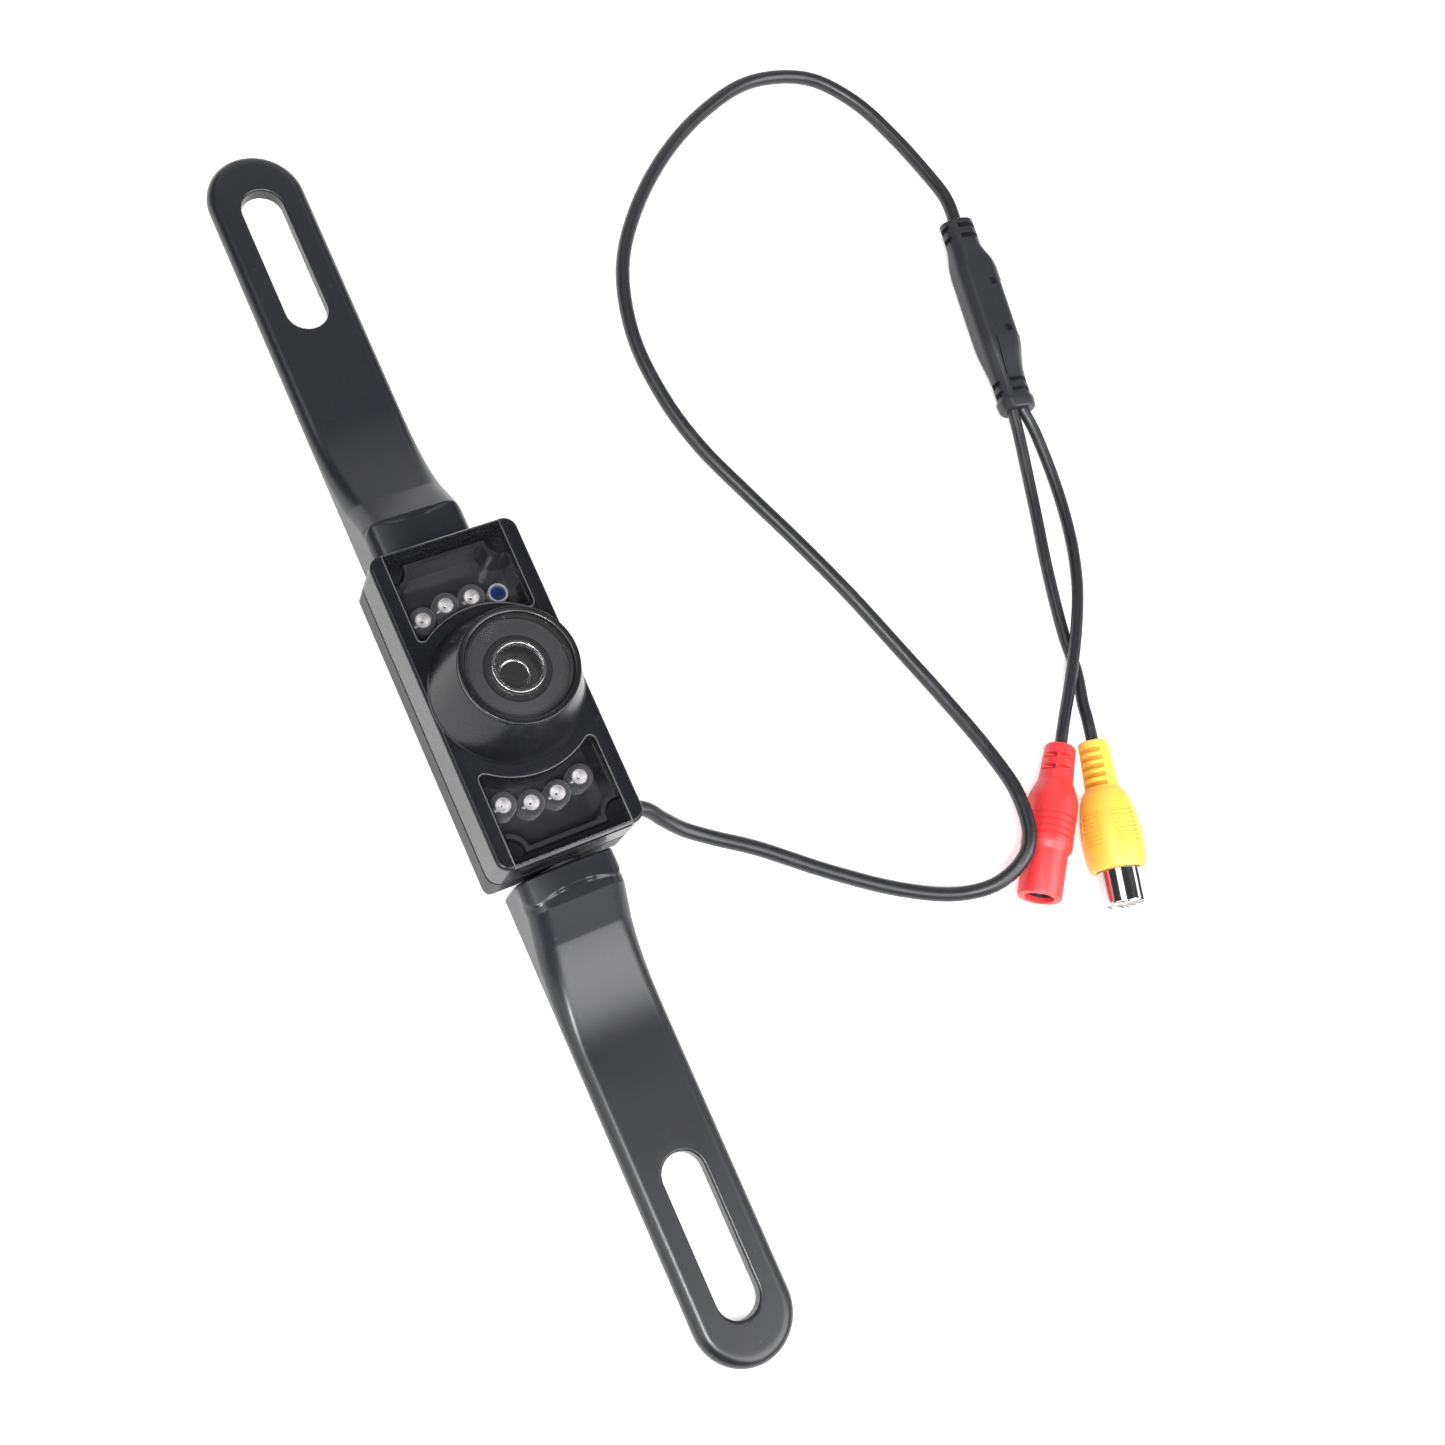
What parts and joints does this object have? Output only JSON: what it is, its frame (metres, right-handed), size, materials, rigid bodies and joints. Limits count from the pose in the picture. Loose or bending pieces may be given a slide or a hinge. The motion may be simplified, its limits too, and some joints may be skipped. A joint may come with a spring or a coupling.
{
  "type": "backup camera",
  "caption": "Vehicle backup camera: a tilting black head with lens and infrared lights on a slotted bar, and a cord that splits into a power and a video jack.",
  "frame": {"origin": "bottom centre of the mounting bar, on the surface it is bolted to", "axes": "+X along the bar, +Y across the bar to the side where the cord leaves, +Z out of the mounting surface, the way the lens looks"},
  "size_m": [0.2476, 0.1588, 0.0362],
  "materials": {
    "bar_black": "satin black moulded nylon",
    "screw_steel": "plain",
    "washer_rubber": "matt",
    "cord_black": "satin PVC",
    "inline_black": "soft moulded PVC",
    "board_green": "solder mask",
    "jack_red": "soft satin PVC",
    "insulator_black": "matt",
    "contact_nickel": "nickel plated",
    "jack_yellow": "soft satin PVC",
    "jack_chrome": "bright nickel plated",
    "insulator_ivory": "moulded",
    "contact_brass": "plated",
    "cover_rear": "satin",
    "cover_front": "satin",
    "seal_rubber": "matt",
    "window_clear": "clear acrylic",
    "tray_dark": "smooth dark",
    "sensor_blue": "blue face",
    "sensor_chip": "chip",
    "lens_black": "matt black",
    "filter_glass": "coated",
    "iris_brown": "dark red-brown",
    "lens_glass": "coated glass",
    "ring_metal": "bright",
    "led_clear": "clear epoxy"
  },
  "bodies": {
    "bar": {"mounting_bar": "bar_black", "pivot_screws": "screw_steel", "friction_washers": "washer_rubber", "main_cable": "cord_black", "inline_housing": "inline_black", "filter_board": "board_green", "video_lead": "cord_black", "power_lead": "cord_black", "power_jack_body": "jack_red", "power_jack_insulator": "insulator_black", "power_jack_contact": "contact_nickel", "power_jack_pin": "contact_nickel", "video_jack_body": "jack_yellow", "video_jack_shell": "jack_chrome", "video_jack_insulator": "insulator_ivory", "video_jack_contact": "contact_brass"},
    "head": {"rear_cover": "cover_rear", "front_cover": "cover_front", "housing_gasket": "seal_rubber", "case_screws": "screw_steel", "left_window": "window_clear", "right_window": "window_clear", "left_tray": "tray_dark", "right_tray": "tray_dark", "left_light_board": "board_green", "right_light_board": "board_green", "ir_led_1": "led_clear", "ir_led_2": "led_clear", "ir_led_3": "led_clear", "ir_led_4": "led_clear", "ir_led_5": "led_clear", "ir_led_6": "led_clear", "ir_led_7": "led_clear", "light_sensor": "sensor_blue", "main_board": "board_green", "board_screws": "screw_steel", "board_connector": "insulator_ivory", "image_sensor": "sensor_chip", "lens_holder": "lens_black", "ir_cut_filter": "filter_glass", "lens_barrel": "lens_black", "iris_disc": "iris_brown", "rear_lens": "lens_glass", "inner_ring": "ring_metal", "front_lens": "lens_glass", "front_ring": "ring_metal", "lens_hood": "cover_front", "lens_baffle": "lens_black", "glass_seal": "seal_rubber", "cover_glass": "lens_glass", "lens_bezel": "lens_black", "cable_grommet": "seal_rubber", "cable_tail": "cord_black"}
  },
  "joints": [
    {"name": "camera_tilt", "type": "hinge", "parent": "bar", "child": "head", "pos_m": [0, 0, 0.0085], "axis": [1, 0, 0], "range_deg": [-12, 12], "deforming": ["main_cable"]}
  ]
}
